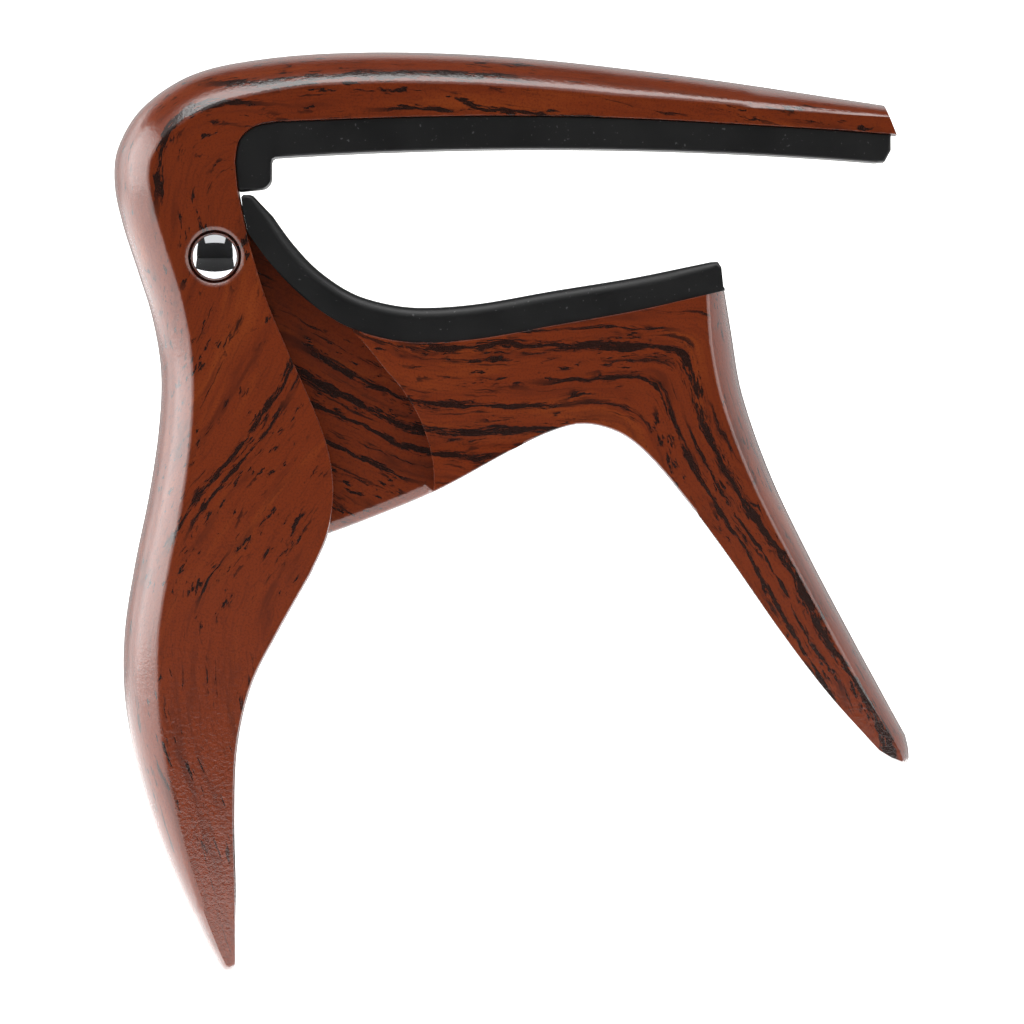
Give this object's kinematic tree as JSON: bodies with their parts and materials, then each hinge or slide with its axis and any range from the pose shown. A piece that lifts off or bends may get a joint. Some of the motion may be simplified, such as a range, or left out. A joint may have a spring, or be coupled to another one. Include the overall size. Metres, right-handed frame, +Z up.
{
  "type": "guitar capo",
  "caption": "Trigger capo for a guitar neck: a spring closes a padded lever jaw against a padded fixed jaw, and squeezing the handles opens it.",
  "frame": {"origin": "apex of the string pad's working face, halfway across the capo's width", "axes": "+X along the jaws from the hinge to their open end, +Y across the capo along the pivot, +Z up from the neck pad to the string pad; the handles hang down towards -Z"},
  "size_m": [0.078, 0.016, 0.0903],
  "materials": {
    "wood_film_casting": "satin",
    "black_silicone": "matte",
    "chromed_steel": "polished",
    "nylon": "matte",
    "spring_steel": "satin"
  },
  "bodies": {
    "body": {"rear_handle": "wood_film_casting", "string_pad": "black_silicone", "pivot_post": "chromed_steel", "pivot_screw": "chromed_steel", "front_washer": "nylon", "rear_washer": "nylon", "torsion_spring": "spring_steel"},
    "lever": {"front_lever": "wood_film_casting", "neck_pad": "black_silicone"}
  },
  "joints": [
    {"name": "lever_pivot", "type": "hinge", "parent": "body", "child": "lever", "pos_m": [-0.0319, 0, -0.01058], "axis": [0, 1, 0], "range_deg": [0, 24.5], "stiffness_Nm_per_rad": 0.8, "springref_deg": -42.97, "deforming": ["torsion_spring"]}
  ]
}
